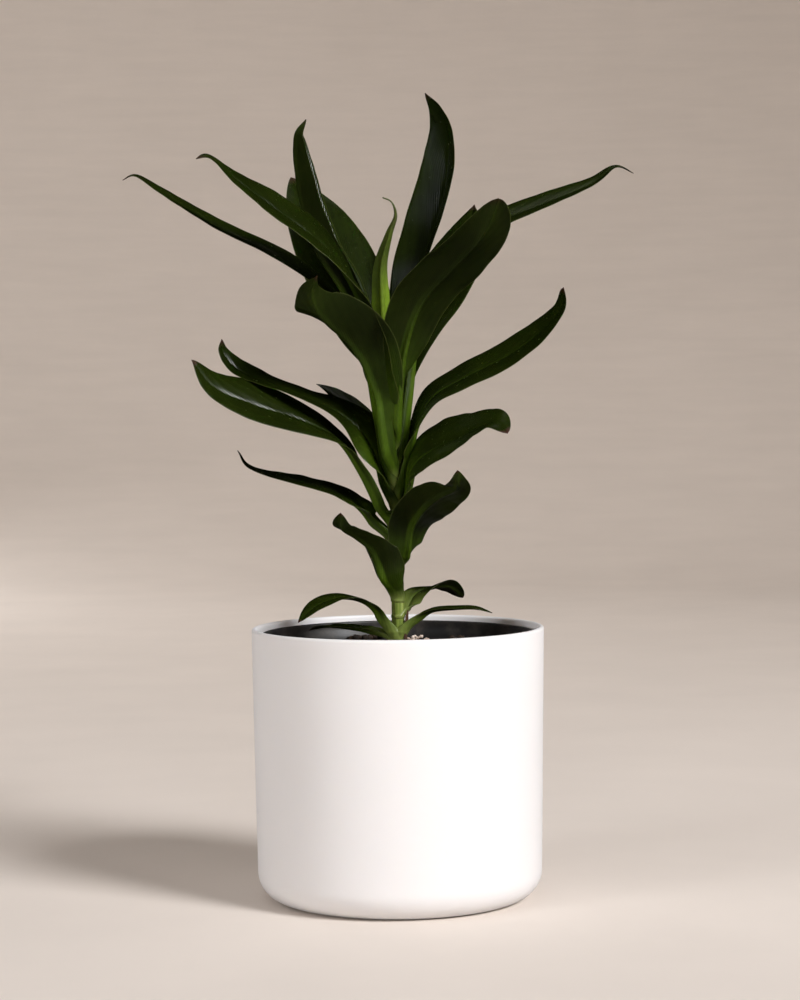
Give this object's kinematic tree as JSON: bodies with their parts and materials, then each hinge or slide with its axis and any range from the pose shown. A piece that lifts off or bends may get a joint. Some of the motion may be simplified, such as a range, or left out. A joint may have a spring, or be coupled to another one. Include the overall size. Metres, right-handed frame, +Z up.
{
  "type": "potted cordyline",
  "caption": "Young cordyline with a slim cane and arching pointed leaves, growing in soil in a black nursery pot inside a round white cover pot.",
  "frame": {"origin": "centre of the cover pot's flat base, where it stands on a surface", "axes": "+Z straight up, +X to the plant's right as seen from the front, +Y away from the front"},
  "size_m": [0.245, 0.1402, 0.3892],
  "materials": {
    "white_cover_plastic": "matte moulded white",
    "black_nursery_plastic": "satin black",
    "potting_soil": "damp, crumbly",
    "green_cane": "satin, ringed with leaf scars",
    "young_leaf": "satin yellow-green",
    "green_leaf": "glossy dark green"
  },
  "bodies": {
    "root": {"cover_pot": "white_cover_plastic", "nursery_pot": "black_nursery_plastic", "potting_soil": "potting_soil", "cane": "green_cane", "leaf_01": "young_leaf", "leaf_02": "green_leaf", "leaf_03": "green_leaf", "leaf_04": "green_leaf", "leaf_05": "green_leaf", "leaf_06": "green_leaf", "leaf_07": "green_leaf", "leaf_08": "green_leaf", "leaf_09": "green_leaf", "leaf_10": "green_leaf", "leaf_11": "green_leaf", "leaf_12": "green_leaf", "leaf_13": "green_leaf", "leaf_14": "green_leaf", "leaf_15": "green_leaf", "leaf_16": "green_leaf", "leaf_17": "green_leaf", "leaf_18": "green_leaf", "leaf_19": "green_leaf", "leaf_20": "green_leaf", "leaf_21": "green_leaf", "leaf_22": "green_leaf"}
  },
  "joints": []
}
